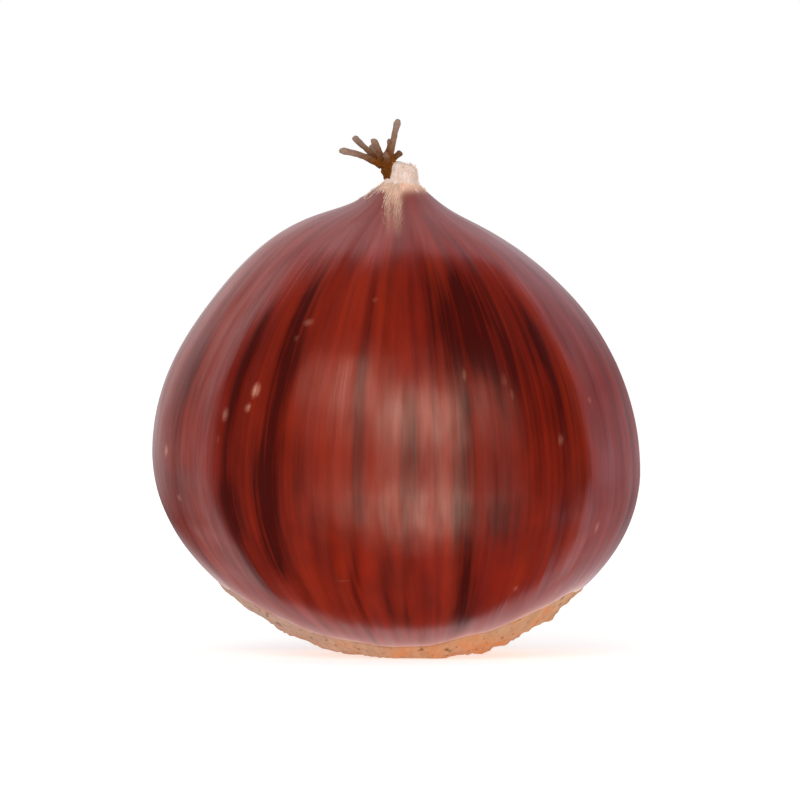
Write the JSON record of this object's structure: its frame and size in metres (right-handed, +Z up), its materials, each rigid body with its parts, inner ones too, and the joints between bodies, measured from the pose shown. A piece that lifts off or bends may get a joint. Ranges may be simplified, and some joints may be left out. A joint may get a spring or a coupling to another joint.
{
  "type": "chestnut",
  "caption": "Whole sweet chestnut in its glossy brown shell, domed in front and flatter behind, standing on its pale base scar with a felted tip and dried styles.",
  "frame": {"origin": "on the surface that the nut stands on, under the middle of its box", "axes": "+Z up from the base scar to the tip, -Y out of the domed face, +Y out of the flatter face, +X to the right as seen from the domed face"},
  "size_m": [0.034, 0.024, 0.0374],
  "materials": {
    "shell": "glossy red-brown shell with darker streaks from base to tip, under a thin waxy bloom",
    "base_scar": "matt pale tan cork with a rough, fibrous surface",
    "tip_felt": "matt cream felt of short hairs",
    "dried_style": "matt grey-brown, dried and shrivelled"
  },
  "bodies": {
    "root": {"chestnut": "shell"}
  },
  "joints": []
}
